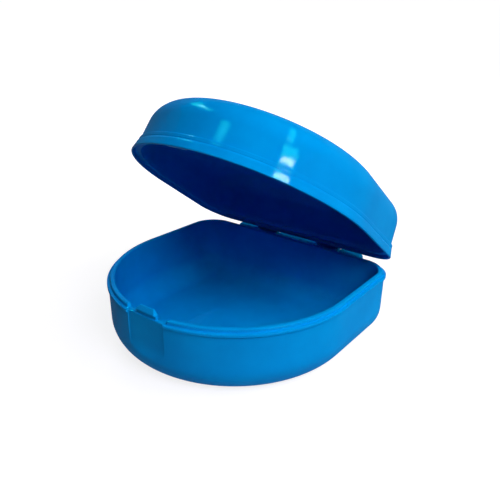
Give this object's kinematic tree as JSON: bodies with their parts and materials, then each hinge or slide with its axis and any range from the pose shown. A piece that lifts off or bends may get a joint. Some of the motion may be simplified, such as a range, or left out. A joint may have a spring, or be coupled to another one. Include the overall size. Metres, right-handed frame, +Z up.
{
  "type": "retainer case",
  "caption": "Small hinged plastic box for a dental retainer: shallow tray with a round front, domed lid, snap hook in a thumb recess, barrel hinge along the straight back edge.",
  "frame": {"origin": "centre of the round front's arc, on the tray's flat underside", "axes": "+Z up, -Y towards the snap hook at the front, +Y towards the hinge, X along the hinge"},
  "size_m": [0.08, 0.0799, 0.0751],
  "materials": {
    "case_plastic": "smooth blue polypropylene, glossy outside and softer inside",
    "pin_steel": "drawn steel rod"
  },
  "bodies": {
    "tray": {"tray": "case_plastic", "hinge_pin": "pin_steel"},
    "lid": {"lid": "case_plastic"}
  },
  "joints": [
    {"name": "lid_hinge", "type": "hinge", "parent": "tray", "child": "lid", "pos_m": [0, 0.0353, 0.01925], "axis": [-1, 0, 0], "range_deg": [-35.9, 139.1]}
  ]
}
